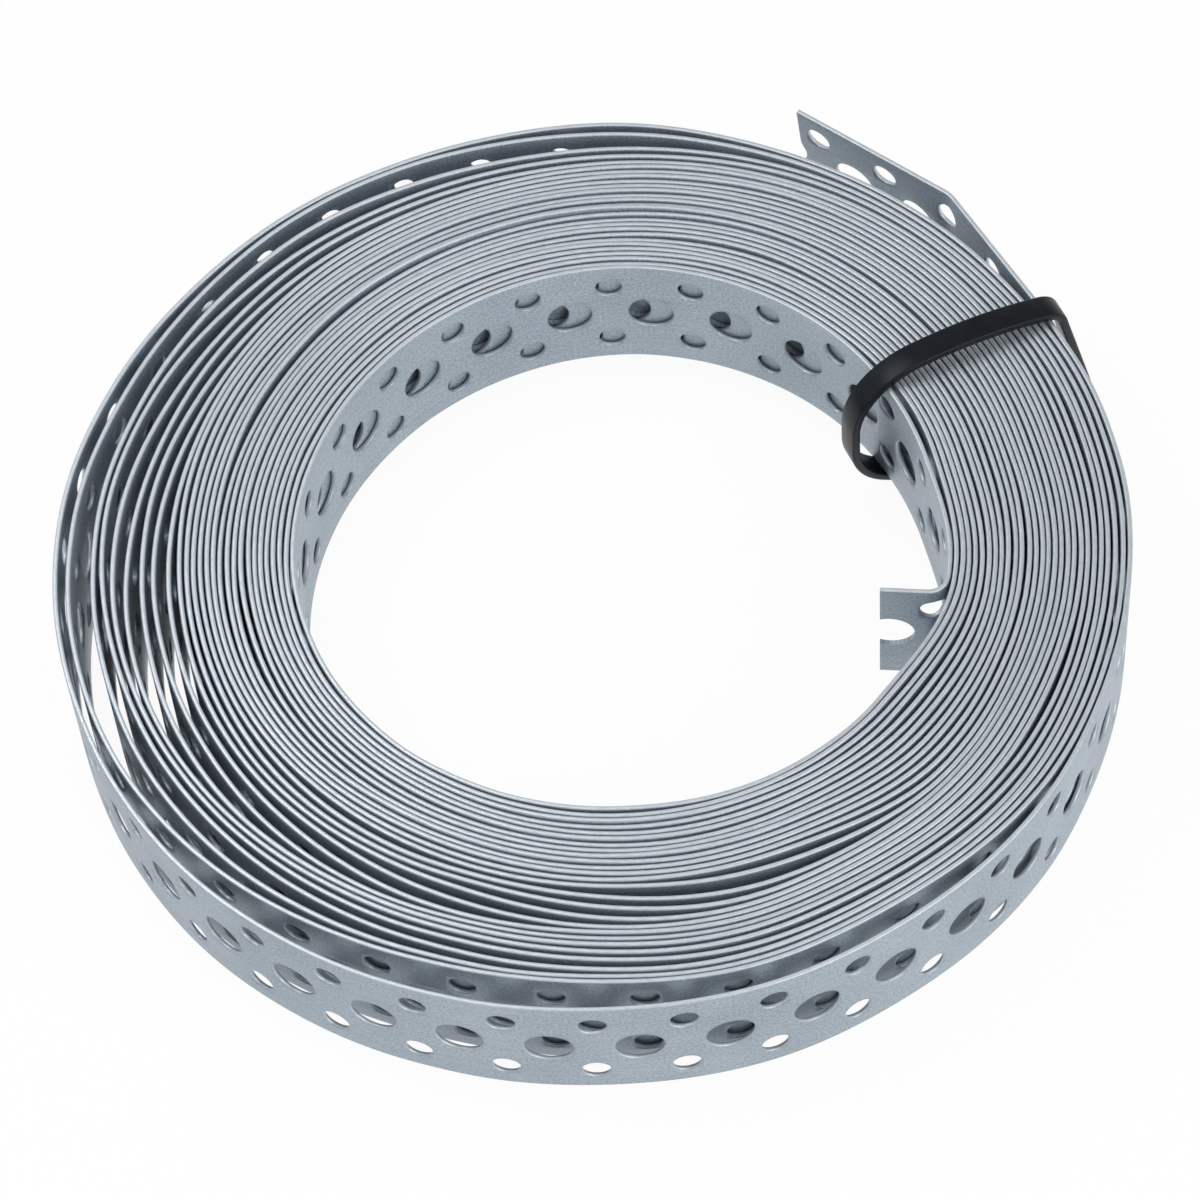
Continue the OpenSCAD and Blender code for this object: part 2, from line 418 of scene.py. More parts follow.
    def first_turn(self, wound: Array, next_gap: float) -> Array:
        """Radius of the innermost turn, which bulges over the bent end as it closes on itself.

        Args:
            wound: Angle from the start, up to a full turn.
            next_gap: Gap at the start of the next turn.

        Returns:
            Radius at mid thickness.
        """
        closing = self.start_bump + self.turn_room + next_gap
        radius = self.first_r + self.start_bump * lump(wound, self.bump_spread)
        radius = radius + closing * lump(wound - 360, self.rise_spread)
        for angle, spread, height in self.first_lumps:
            radius = radius + height * lump(wound - self.from_start(angle), spread)
        return radius

    def spiral(self) -> tuple[Array, Array]:
        """Angle wound and radius at mid thickness, sampled evenly.

        Each turn lies on the one before: its radius there, plus its room and the gap. Within its
        room it sways a little, each turn on its own.

        Returns:
            Angles from the start of the spiral, and radii.
        """
        total = 360 * self.turns + self.from_start(self.leave)
        wound = np.arange(round(total * self.steps / 360) + 1) * 360 / self.steps
        rise = self.turn_room + self.gap(wound)
        radius = np.empty_like(wound)
        radius[: self.steps] = self.first_turn(wound[: self.steps], rise[self.steps] - self.turn_room)
        for first in range(self.steps, len(wound), self.steps):
            turn = slice(first, min(first + self.steps, len(wound)))
            inside = slice(turn.start - self.steps, turn.stop - self.steps)
            radius[turn] = radius[inside] + rise[turn]
        drift = self.drift(wound, self.sway_step, self.sway_seed, self.sway_power)
        free = (1 - lump(wound, self.sway_ends)) * (1 - lump(wound[-1] - wound, self.sway_ends))
        return wound, radius + self.sway * (drift - 0.5) * free

    def path(self) -> Path:
        """Centre line through the inner end, the spiral and the outer end.

        The inner end is a straight and an arc into the bore; the outer end leaves on a straight
        run, bends and goes straight to its cut.

        Returns:
            The whole line in the part's frame.
        """
        wound, radius = self.spiral()
        turned = radius[:, None] * heading(self.start + wound)
        curl = np.linspace(self.inner_bend, 0, self.inner_bend_steps + 1)[:-1]
        curl_c = (radius[0] - self.inner_bend_r) * heading(self.start)
        bend_in = curl_c + self.inner_bend_r * heading(self.start - curl)
        inwards = heading(self.start - 90 - self.inner_bend)
        inner = bend_in[0] + np.linspace(self.inner_len, 0, self.inner_steps + 1)[:-1, None] * inwards
        sweep = np.linspace(self.leave, 90, self.outer_bend_steps + 1)
        bend_out = self.outer_bend_c + self.outer_bend_r * heading(sweep)
        share = np.linspace(0, 1, self.outer_steps + 1)[1:]
        run = turned[-1] + share[:-1, None] * (bend_out[0] - turned[-1])
        past = self.outer_len * share
        tail = bend_out[-1] - past[:, None] * np.array([1.0, 0.0])
        line = np.concatenate([inner, bend_in, turned, run, bend_out, tail])
        lift, lean = np.zeros((2, len(line)))
        first = len(inner) + len(bend_in)
        lift[first : first + len(wound)] = self.lifted(wound)
        lean[: len(inner)] = self.inner_lean
        lean[len(inner) : first] = self.inner_lean * np.linspace(1, 0, len(bend_in))
        lean[-len(tail) :] = self.outer_lean * (1 - lump(share, self.lean_share))
        return Path.through(line + np.array(self.centre), lift, lean)

    def length_at(self, turn: int, angle: float, path: Path) -> float:
        """Length along the path at an angle in plan on one turn.

        Args:
            turn: Number of the turn, from 0 at the innermost.
            angle: Angle in plan.
            path: The measured line.

        Returns:
            Length from the inner cut.
        """
        lead = self.inner_steps + self.inner_bend_steps
        step = (360 * turn + self.from_start(angle)) * self.steps / 360
        return float(np.interp(lead + step, np.arange(len(path.length)), path.length))

    def marked(self, pattern: "HolePattern") -> tuple[Path, int]:
        """The path with the flat strap laid along it, so that the marked holes lie at their angles.

        A mark is the number of a large hole, the turn and the angle at which it lies; a number
        under 0 counts from the last large hole, and a half is the pair of small holes after it.

        Args:
            pattern: Holes of the strap.

        Returns:
            The path with its marks, and the number of the last large hole.
        """
        path = self.path()
        last = pattern.last_hole(path.length[-1])
        flat = [pattern.at(number if number > 0 else last + number) for number, _, _ in self.hole_marks]
        reach = [self.length_at(turn, angle, path) for _, turn, angle in self.hole_marks]
        flat_marks = np.array([0.0, *flat, pattern.at(last + 0.5) + pattern.outer_cut])
        path_marks = np.array([0.0, *reach, path.length[-1]])
        return replace(path, flat_marks=flat_marks, path_marks=path_marks), last


@dataclass
class Patch:
    """Part of the strap's flat face: points in length and height, quads, and the rims of its holes.

    Attributes:
        points: Points, one row each.
        quads: Corners of each quad, anticlockwise.
        rims: Point numbers round each hole, anticlockwise.
        bores: Points of the hole's own wall beside each point of its rim.
    """

    points: Array
    quads: Array
    rims: Array
    bores: Array

    @classmethod
    def joined(cls, parts: list["Patch"]) -> "Patch":
        """Puts patches into one, with their point numbers shifted.

        Args:
            parts: Patches to join; those with rims have rims of the same count.

        Returns:
            One patch.
        """
        shifts = np.cumsum([0] + [len(p.points) for p in parts[:-1]])
        holed = [(p, s) for p, s in zip(parts, shifts) if len(p.rims)]
        return cls(
            np.concatenate([p.points for p in parts]),
            np.concatenate([p.quads + s for p, s in zip(parts, shifts)]),
            np.concatenate([p.rims + s for p, s in holed]) if holed else np.empty((0, 0), int),
            np.concatenate([p.bores for p, _ in holed]) if holed else np.empty((0, 0, 2)),
        )

    def repeated(self, along: Array) -> "Patch":
        """Copies the patch to each of these lengths.

        Args:
            along: Lengths at which the copies stand.

        Returns:
            One patch with all copies.
        """
        count, size = len(along), len(self.points)
        move = np.stack([along, np.zeros(count)], axis=1)[:, None]
        shift = size * np.arange(count)[:, None, None]
        return Patch(
            (self.points + move).reshape(-1, 2),
            (self.quads + shift).reshape(-1, 4),
            (self.rims + shift).reshape(-1, self.rims.shape[1]),
            (self.bores + move[:, None]).reshape(-1, *self.bores.shape[1:]),
        )

    def welded(self) -> "Patch":
        """Merges points that fall on each other to within a micrometre.

        Each point's key is its length in micrometres times a span that is wider than the strap,
        plus its height.

        Returns:
            The patch with each point once.
        """
        micron, span = 1000, 2**16
        along, height = np.round(self.points * micron).astype(np.int64).T
        _, kept, number = np.unique(along * span + height, return_index=True, return_inverse=True)
        return Patch(self.points[kept], number[self.quads], number[self.rims], self.bores)


def block(along: Array, height: Array) -> Patch:
    """Plain patch on the grid of these lengths and heights.

    Args:
        along: Lengths of the grid's columns.
        height: Heights of its rows.

    Returns:
        The patch, with no holes.
    """
    grid = np.stack(np.meshgrid(along, height, indexing="ij"), axis=-1)
    number = np.arange(grid[..., 0].size).reshape(grid.shape[:2])
    quads = np.stack([number[:-1, :-1], number[1:, :-1], number[1:, 1:], number[:-1, 1:]], axis=-1)
    return Patch(grid.reshape(-1, 2), quads.reshape(-1, 4), np.empty((0, 0), int), np.empty((0, 0, 2)))


def holed(along: Array, height: Array, centre: tuple[float, float], radius: float, rim: float) -> Patch:
    """Patch between a rectangle and a round hole in it.

    Each point of the rectangle's border is joined to the point of the hole at the same share of
    the way round, starting at the corner of lowest length and height.

    Args:
        along: Lengths of the points on the lower and upper sides.
        height: Heights of the points on the other two sides; as many as lengths.
        centre: Middle of the hole, in length and height.
        radius: Radius of the hole.
        rim: Width by which its rounded rim is wider.

    Returns:
        The patch, with one rim.
    """
    low, high = np.full(len(along), height[0]), np.full(len(along), height[-1])
    left, right = np.full(len(height), along[0]), np.full(len(height), along[-1])
    border = np.concatenate([
        np.stack([along, low], axis=1)[:-1],
        np.stack([right, height], axis=1)[:-1],
        np.stack([along[::-1], high], axis=1)[:-1],
        np.stack([left, height[::-1]], axis=1)[:-1],
    ])
    count, low_corner = len(border), 225
    round_hole = heading(low_corner + 360 * np.arange(count) / count)
    middle = np.array(centre)
    points = np.concatenate([border, middle + (radius + rim) * round_hole])
    out = np.arange(count)
    after = np.roll(out, -1)
    quads = np.stack([out, after, after + count, out + count], axis=1)
    return Patch(points, quads, (out + count)[None], (middle + radius * round_hole)[None])


@dataclass(frozen=True)
class HolePattern:
    """Holes along the strap: large ones on the centre line, small pairs midway between them.

    Lengths are in millimetres. Heights are from the centre line.

    Attributes:
        width: Width of the strap.
        pitch: Distance from one large hole to the next.
        large_r: Radius of the large holes, and small_r that of the small ones.
        small_off: Distance of the small holes from the centre line.
        inner_cut: Distance from the inner cut to the first large hole.
        outer_cut: Distance from the last small pair to the outer cut.
        large_half: Half the length of the grid's square round a large hole.
        large_top: Height at which that square ends.
        small_top: Height at which the square round a small hole ends.
        edge_h: Height of the rounded edge.
        strip_steps: Columns between the last small pair and the outer cut.
    """

    width: float = STRAP_W
    pitch: float = 11.2
    large_r: float = 3.1
    small_r: float = 1.8
    small_off: float = 5.7
    inner_cut: float = 1.3
    outer_cut: float = 3.3
    large_half: float = 3.5
    large_top: float = 3.6
    small_top: float = 7.8
    edge_h: float = 0.3
    strip_steps: int = 3

    @property
    def face_top(self) -> float:
        """Height at which the flat face ends and the rounded edge begins."""
        return self.width / 2 - self.edge_h

    def at(self, number: float) -> float:
        """Length from the inner cut to the large hole of this number."""
        return self.inner_cut + self.pitch * number

    def last_hole(self, length: float) -> int:
        """Number of the last large hole before the outer cut, on a strap of about this length."""
        return round((length - self.inner_cut - self.outer_cut) / self.pitch - 0.5)

    def rows(self, sides: int) -> list[Array]:
        """Heights of the grid's rows in its five bands, from the lower edge up.

        Args:
            sides: Segments on a side of a hole.

        Returns:
            Heights in each band.
        """
        above = [self.large_top, self.small_top, self.face_top]
        marks = [-mark for mark in above[::-1]] + above
        counts = [1, sides, sides, sides, 1]
        return [np.linspace(a, b, n + 1) for a, b, n in zip(marks, marks[1:], counts)]

    def pair_columns(self, sides: int) -> Array:
        """Lengths of the grid's columns beside a small pair, from the large hole before it."""
        return np.linspace(self.large_half, self.pitch - self.large_half, sides + 1)

    def plain_parts(self, large: Array, small: Array, bands: list[Array]) -> list[Patch]:
        """Patches without holes: the bands beside the large hole and those beside the small pair.

        Args:
            large: Lengths of the columns at the large hole.
            small: Lengths of the columns at the small pair.
            bands: Heights of the rows in each band.

        Returns:
            The patches.
        """
        beside_large = [block(large, bands[i]) for i in (0, 1, 3, 4)]
        return beside_large + [block(small, bands[i]) for i in (0, 2, 4)]

    def pair(self, small: Array, bands: list[Array], rim: float) -> list[Patch]:
        """Patches of a small pair, one on each side of the centre line.

        Args:
            small: Lengths of the columns at the pair.
            bands: Heights of the rows in each band.
            rim: Width of the rounded rim.

        Returns:
            The two patches.
        """
        along = self.pitch / 2
        lower = holed(small, bands[1], (along, -self.small_off), self.small_r, rim)
        return [lower, holed(small, bands[3], (along, self.small_off), self.small_r, rim)]

    def cell(self, detail: Detail) -> Patch:
        """One pitch of the strap, from the left of a large hole to the right of the next pair.

        Args:
            detail: How finely it is divided.

        Returns:
            The patch, with the large hole at length 0.
        """
        sides, rim = detail.sides, detail.rim
        large = np.linspace(-self.large_half, self.large_half, sides + 1)
        small = self.pair_columns(sides)
        bands = self.rows(sides)
        hole = holed(large, bands[2], (0.0, 0.0), self.large_r, rim)
        return Patch.joined([*self.plain_parts(large, small, bands), hole, *self.pair(small, bands, rim)])

    def inner_cell(self, detail: Detail) -> tuple[Patch, Array]:
        """First pitch, with its large hole cut open by the inner cut.

        The arc of the hole that is left runs from one corner of the cut to the other, and each
        of its points is joined to a point of the rectangle round it.

        Args:
            detail: How finely it is divided.

        Returns:
            The patch with the large hole at length 0, and the points of its cut from the top down.
        """
        sides, rim = detail.sides, detail.rim
        cut = -self.inner_cut
        wide = self.large_r + rim
        large = np.linspace(cut, self.large_half, sides + 1)
        small = self.pair_columns(sides)
        bands = self.rows(sides)
        mid = bands[2]
        border = np.concatenate([
            np.stack([large, np.full(sides + 1, mid[0])], axis=1)[:-1],
            np.stack([np.full(sides + 1, large[-1]), mid], axis=1),
            np.stack([large[::-1], np.full(sides + 1, mid[-1])], axis=1)[1:],
        ])
        sweep = math.degrees(math.acos(cut / wide))
        arc = wide * heading(np.linspace(-sweep, sweep, len(border)))
        out = np.arange(len(border) - 1)
        quads = np.stack([out, out + 1, out + 1 + len(border), out + len(border)], axis=1)
        none = np.empty((0, 0), int), np.empty((0, 0, 2))
        opened = Patch(np.concatenate([border, arc]), quads, *none)
        parts = [*self.plain_parts(large, small, bands), opened, *self.pair(small, bands, rim)]
        above, below = (
            np.column_stack([np.full(len(height), cut), height])
            for height in (np.concatenate([bands[i][::-1] for i in pick]) for pick in ((4, 3), (1, 0)))
        )
        return Patch.joined(parts), np.concatenate([above, arc[::-1], below])

    def outer_strip(self, detail: Detail) -> tuple[Patch, Array]:
        """Strip from the last small pair to the outer cut, notched by the next large hole.

        Each row runs from the pair's side to the cut, or to the hole where that comes first.

        Args:
            detail: How finely it is divided.

        Returns:
            The patch with the cut at length 0, and the points of the cut from the bottom up.
        """
        sides = detail.sides
        height = np.unique(np.concatenate(self.rows(sides)))
        start = self.pitch / 2 - self.large_half - self.outer_cut
        hole = self.pitch / 2 - self.outer_cut
        notch = np.minimum(0.0, hole - np.sqrt(np.maximum(self.large_r**2 - height**2, 0.0)))
        share = np.linspace(0, 1, self.strip_steps + 1)[:, None]
        flat = block(share[:, 0], height)
        along = start + share * (notch - start)
        flat.points[:, 0] = along.ravel()
        return flat, np.stack([notch, height], axis=1)


@dataclass
class Shell:
    """Closed skin of a stretch of strap, with each point's place on the flat strap.

    Attributes:
        along: Length from the inner cut.
        height: Height from the centre line.
        out: Distance from mid thickness.
        edge: 0 on the flat faces, 1 on hole walls and on the crown of the rounded edge.
        quads: Corners of each quad.
    """

    along: Array
    height: Array
    out: Array
    edge: Array
    quads: Array


@dataclass(frozen=True)
class StrapSkin:
    """Turns the flat face of a stretch of strap into its closed skin.

    Attributes:
        pattern: Holes of the strap.
        thickness: Thickness of the strap.
        squareness: Power that squares the rounded edge; 1 is an oval.
        same_height: Difference under which two heights count as one.
        near_cut: Length on both sides of a cut within which its points are looked for.
    """

    pattern: HolePattern
    thickness: float
    squareness: float = 0.7
    same_height: float = 1e-4
    near_cut: float = 12.0

    def edge_rows(
        self, row: Array, top: bool, detail: Detail, face: Patch, first: int
    ) -> tuple[Array, Array]:
        """Rounded edge carried along the strap from one face to the other.

        It is half a squarish oval: cosine and sine raised to a power under 1, so that its crown is
        flat and its corners are round.

        Args:
            row: Point numbers along the edge of the outer face.
            top: True on the upper edge.
            detail: How finely it is divided.
            face: The flat face.
            first: Number of the first new point.

        Returns:
            New points as length, height, distance out and share of the crown, and all rows of
            point numbers.
        """
        swing = np.pi * np.arange(1, detail.edge_steps) / detail.edge_steps
        side = 1 if top else -1
        rise = np.sin(swing) ** self.squareness
        out = self.thickness / 2 * np.sign(np.cos(swing)) * np.abs(np.cos(swing)) ** self.squareness
        along = np.broadcast_to(face.points[row, 0], (len(swing), len(row)))
        height = side * (self.pattern.face_top + self.pattern.edge_h * rise)
        columns = [np.broadcast_to(column[:, None], along.shape) for column in (height, out, rise)]
        inside = first + np.arange(along.size).reshape(along.shape)
        rows = np.concatenate([row[None], inside, row[None] + len(face.points)])
        return np.stack([along, *columns], axis=-1).reshape(-1, 4), rows

    @staticmethod
    def between(first: Array, second: Array) -> Array:
        """Quads between two rows of point numbers, which face the right-hand side of travel."""
        return np.stack([first[:-1], first[1:], second[1:], second[:-1]], axis=-1).reshape(-1, 4)

    def nearest(self, face: Patch, points: Array) -> Array:
        """Numbers of the face's points that lie at these places.

        Args:
            face: The flat face.
            points: Places on it.

        Returns:
            One number for each place, with repeats in a row left out.
        """
        near = np.flatnonzero(np.abs(face.points[:, 0] - points[:, 0].mean()) < self.near_cut)
        apart = np.linalg.norm(face.points[near][None] - points[:, None], axis=2)
        number = near[np.argmin(apart, axis=1)]
        return number[np.concatenate([[True], np.diff(number) != 0])]

    def closed(self, face: Patch, detail: Detail, start: Array | None, stop: Array | None) -> Shell:
        """Skin of both faces, the hole walls, the rounded edges and the cut ends.

        The outer face is copied to the inner side and turned over. Each hole's wall runs from
        rim to rim, with a narrow slope at each rim where the detail has one.

        Args:
            face: The flat face, welded.
            detail: How finely it is divided.
            start: Points of the inner cut from the top down, if the stretch begins there.
            stop: Points of the outer cut from the bottom up, if it ends there.

        Returns:
            The skin.
        """
        half, size = self.thickness / 2, len(face.points)
        places = [np.column_stack([face.points, np.full(size, o)]) for o in (half, -half)]
        quads = [face.quads, face.quads[:, ::-1] + size]
        edge = [np.zeros(2 * size)]
        count = 2 * size
        rings = [face.rims]
        if detail.rim:
            for out in (half - detail.rim, detail.rim - half):
                flat = face.bores.reshape(-1, 2)
                places.append(np.column_stack([flat, np.full(len(flat), out)]))
                rings.append(count + np.arange(len(flat)).reshape(face.rims.shape))
                edge.append(np.ones(len(flat)))
                count += len(flat)
        rings.append(face.rims + size)
        for upper, lower in zip(rings, rings[1:]):
            after = np.roll(upper, -1, axis=1), np.roll(lower, -1, axis=1)
            quads.append(np.stack([upper, after[0], after[1], lower], axis=-1).reshape(-1, 4))
        for top in (False, True):
            level = self.pattern.face_top if top else -self.pattern.face_top
            row = np.flatnonzero(np.abs(face.points[:, 1] - level) < self.same_height)
            row = row[np.argsort(face.points[row, 0])]
            new, rows = self.edge_rows(row, top, detail, face, count)
            places.append(new[:, :3])
            edge.append(new[:, 3])
            count += len(new)
            flow = rows if top else rows[:, ::-1]
            for upper, lower in zip(flow, flow[1:]):
                quads.append(self.between(upper, lower))
            for cut, column, turn in ((start, 0, top), (stop, -1, not top)):
                if cut is not None:
                    lip = rows[:, column]
                    steps = np.arange((len(lip) - 1) // 2 + 1)
                    cap = np.stack([lip[steps], lip[::-1][steps]], axis=1)
                    pairs = np.column_stack([cap[:-1, 0], cap[1:, 0], cap[1:, 1], cap[:-1, 1]])
                    quads.append(pairs if turn else pairs[:, ::-1])
        for cut in (start, stop):
            if cut is not None:
                line = self.nearest(face, cut)[::-1]
                quads.append(self.between(line, line + size))
        place = np.concatenate(places)
        return Shell(*place.T, np.concatenate(edge), np.concatenate(quads))


def skin_object(name: str, points: Array, quads: Array, smooth_to: float = 30.0) -> Piece:
    """Object at the origin with this mesh, shaded smooth up to an angle.

    Args:
        name: Name of the piece.
        points: Points in metres, one row each.
        quads: Corners of each quad.
        smooth_to: Angle in degrees past which an edge is sharp.

    Returns:
        The object, linked to the scene.
    """
    mesh = bpy.data.meshes.new(name)
    mesh.vertices.add(len(points))
    mesh.vertices.foreach_set("co", points.astype(np.float32).ravel())
    mesh.loops.add(quads.size)
    mesh.loops.foreach_set("vertex_index", quads.astype(np.int32).ravel())
    mesh.polygons.add(len(quads))
    mesh.polygons.foreach_set("loop_start", np.arange(0, quads.size, 4, dtype=np.int32))
    mesh.update(calc_edges=True)
    mesh.validate()
    mesh.shade_smooth()
    mesh.set_sharp_from_angle(angle=math.radians(smooth_to))
    made = bpy.data.objects.new(name, mesh)
    bpy.context.scene.collection.objects.link(made)
    return made


def finished(piece: Piece, node: str, material: bpy.types.Material) -> Piece:
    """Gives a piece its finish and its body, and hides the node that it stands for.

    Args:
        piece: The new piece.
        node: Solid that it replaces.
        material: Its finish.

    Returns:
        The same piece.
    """
    piece.data.materials.append(material)
    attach(piece, "root")
    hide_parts(node)
    LOG.info("%s: %d faces", piece.name, len(piece.data.polygons))
    return piece


class Graph:
    """Node tree of a material or world, built one node at a time."""

    def __init__(self, tree: bpy.types.NodeTree) -> None:
        """Starts from an empty tree."""
        self.tree = tree
        tree.nodes.clear()

    def add(self, kind: str, values: dict | None = None, **settings: object) -> bpy.types.Node:
        """Adds a node.

        Args:
            kind: Type of the node, without the leading ShaderNode.
            values: Inputs by name or number; a socket is linked, anything else is set.
            settings: Other settings of the node.

        Returns:
            The node.
        """
        node = self.tree.nodes.new("ShaderNode" + kind)
        for name, value in settings.items():
            setattr(node, name, value)
        for key, value in (values or {}).items():
            if isinstance(value, bpy.types.NodeSocket):
                self.tree.links.new(value, node.inputs[key])
            else:
                node.inputs[key].default_value = value
        return node

    def noise(self, place: Socket, scale: Vector3, detail: float) -> Socket:
        """Smooth noise on a stretched place.

        Args:
            place: Coordinates.
            scale: Waves for each unit along each axis.
            detail: Finer layers added.

        Returns:
            The noise, about 0.2 to 0.8.
        """
        stretched = self.add("Mapping", {"Vector": place, "Scale": scale}).outputs[0]
        layers = {"Scale": 1.0, "Detail": detail, "Roughness": 0.6}
        return self.add("TexNoise", {"Vector": stretched, **layers}).outputs["Fac"]

    def spread(self, value: Socket, limits: Range, to: Range) -> Socket:
        """Carries a range of values to another range.

        Args:
            value: Value to carry over.
            limits: Lower and upper end of its range.
            to: What the two ends become.

        Returns:
            The new value.
        """
        old = {"From Min": limits[0], "From Max": limits[1]}
        new = {"To Min": to[0], "To Max": to[1]}
        return self.add("MapRange", {"Value": value, **old, **new}).outputs[0]

    def sum(self, first: Socket, second: Socket) -> Socket:
        """Sum of two values, kept between 0 and 1."""
        return self.add("Math", {0: first, 1: second}, use_clamp=True).outputs[0]

    def blend(self, share: Socket, first: Socket | Colour, second: Socket | Colour) -> Socket:
        """Mixes two colours.

        Args:
            share: Share of the second colour.
            first: Colour or socket at 0.
            second: Colour or socket at 1.

        Returns:
            The mixed colour.
        """
        made = self.add("Mix", {0: share, 6: first, 7: second}, data_type="RGBA")
        return made.outputs[2]


@dataclass(frozen=True)
class GalvanisedSteel:
    """Zinc-coated strap: bluish grey with fine grain and rolling streaks, paler on its slit edges and hole
    walls, partly as a painted highlight where these face the light.

    Attributes:
        dark: Darkest colour of the faces, and light the lightest.
        edge_dark: Darkest colour of the slit edges and hole walls, and edge_light the lightest; both are
            paler than the faces partly as a painted highlight.
        metallic: Share of bare metal.
        grain: Waves of the grain for each 100 mm, and grain_share its weight in the faces' tone.
        streak: Waves of the streaks along and across the strap, and streak_share their weight.
        cloud: Waves of the clouds for each metre, and cloud_share their weight.
        edge_streak: Waves of the streaks along and across the slit edges.
        roughness: Least and most roughness.
        bump: Strength of the bump on the faces, and edge_bump that on the slit edges.
        bump_depth: Depth of the bump in metres.
    """

    dark: Colour = (0.225, 0.275, 0.32, 1.0)
    light: Colour = (0.48, 0.55, 0.615, 1.0)
    edge_dark: Colour = (0.52, 0.56, 0.605, 1.0)
    edge_light: Colour = (0.61, 0.65, 0.695, 1.0)
    metallic: float = 0.62
    grain: float = 260.0
    grain_share: float = 0.65
    streak: Range = (3.0, 130.0)
    streak_share: float = 0.12
    cloud: float = 60.0
    cloud_share: float = 0.23
    edge_streak: Range = (70.0, 250.0)
    roughness: Range = (0.40, 0.54)
    bump: float = 0.14
    edge_bump: float = 0.02
    bump_depth: float = 0.0002

    def material(self) -> bpy.types.Material:
        """Builds the finish on the strap's own length and height.

        The faces' colour follows slow clouds, streaks along the strap and fine grain, and the edges'
        follows short streaks between paler colours that partly paint a highlight on the crowns and hole
        walls; roughness and bump follow the grain.

        Returns:
            The material.
        """
        made = bpy.data.materials.new("galvanised_steel")
        made.use_nodes = True
        graph = Graph(made.node_tree)
        strap = graph.add("UVMap", uv_map=STRAP_UV).outputs[0]
        space = graph.add("TexCoord").outputs["Object"]
        grain = graph.noise(strap, (self.grain, self.grain, 1.0), 3.0)
        streak = graph.noise(strap, (*self.streak, 1.0), 2.0)
        cloud = graph.noise(space, (self.cloud,) * 3, 2.0)
        tone = graph.sum(
            graph.spread(grain, STRONG_NOISE, (0.0, self.grain_share)),
            graph.spread(streak, SOFT_NOISE, (0.0, self.streak_share)),
        )
        tone = graph.sum(tone, graph.spread(cloud, SOFT_NOISE, (0.0, self.cloud_share)))
        face = graph.blend(tone, self.dark, self.light)
        slit = graph.noise(strap, (*self.edge_streak, 1.0), 3.0)
        # Slit edges and hole walls: short streaks between pale colours, partly the edges' own tone and
        # partly a painted highlight where the crowns face the light.
        edge_tone_with_painted_highlight = graph.blend(graph.spread(slit, STRONG_NOISE, (0.0, 1.0)), self.edge_dark, self.edge_light)
        crown = graph.add("Attribute", attribute_name=EDGE_SHARE).outputs["Fac"]
        # The crowns and hole walls take the pale edge tone, which partly paints their highlight.
        colour = graph.blend(graph.spread(crown, (0.4, 0.95), (0.0, 1.0)), face, edge_tone_with_painted_highlight)
        strength = graph.spread(crown, (0.2, 0.9), (self.bump, self.edge_bump))
        bump = graph.add("Bump", {"Strength": strength, "Distance": self.bump_depth, "Height": grain})
        shader = graph.add("BsdfPrincipled", {
            "Base Color": colour,
            "Metallic": self.metallic,
            "Roughness": graph.spread(grain, SOFT_NOISE, self.roughness),
            "Normal": bump.outputs[0],
        })
        graph.add("OutputMaterial", {"Surface": shader.outputs[0]})
        return made


@dataclass(frozen=True)
class BlackNylon:
    """Moulded black nylon with a soft sheen and a faint uneven skin.

    Attributes:
        dark: Darkest colour, and light the lightest.
        sheen: Strength of the sheen, and sheen_tint its colour.
        cloud: Waves of the slow noise for each metre.
        roughness: Least and most roughness.
        grain: Waves of the grain for each metre.
        bump: Strength of the grain's bump.
        bump_depth: Depth of the bump in metres.
    """

    dark: Colour = (0.0025, 0.003, 0.0045, 1.0)
    light: Colour = (0.005, 0.006, 0.009, 1.0)
    sheen: float = 0.24
    sheen_tint: Colour = (0.78, 0.88, 1.0, 1.0)
    cloud: float = 220.0
    roughness: Range = (0.3, 0.42)
    grain: float = 1500.0
    bump: float = 0.08
    bump_depth: float = 0.0001

    def material(self) -> bpy.types.Material:
        """Builds the finish on object coordinates.

        Colour and roughness follow slow noise, bump follows fine grain.

        Returns:
            The material.
        """
        made = bpy.data.materials.new("black_nylon")
        made.use_nodes = True
        graph = Graph(made.node_tree)
        space = graph.add("TexCoord").outputs["Object"]
        cloud = graph.noise(space, (self.cloud,) * 3, 2.0)
        grain = graph.noise(space, (self.grain,) * 3, 2.0)
        bump = graph.add("Bump", {"Strength": self.bump, "Distance": self.bump_depth, "Height": grain})
        shader = graph.add("BsdfPrincipled", {
            "Base Color": graph.blend(graph.spread(cloud, SOFT_NOISE, (0.0, 1.0)), self.dark, self.light),
            "Roughness": graph.spread(cloud, SOFT_NOISE, self.roughness),
            "Specular IOR Level": self.sheen,
            "Specular Tint": self.sheen_tint,
            "Normal": bump.outputs[0],
        })
        graph.add("OutputMaterial", {"Surface": shader.outputs[0]})
        return made


@dataclass(frozen=True)
class Stretch:
    """Stretch of strap that makes one piece: up to the tie on its last turn."""

    name: str
    last_turn: int
    detail: Detail


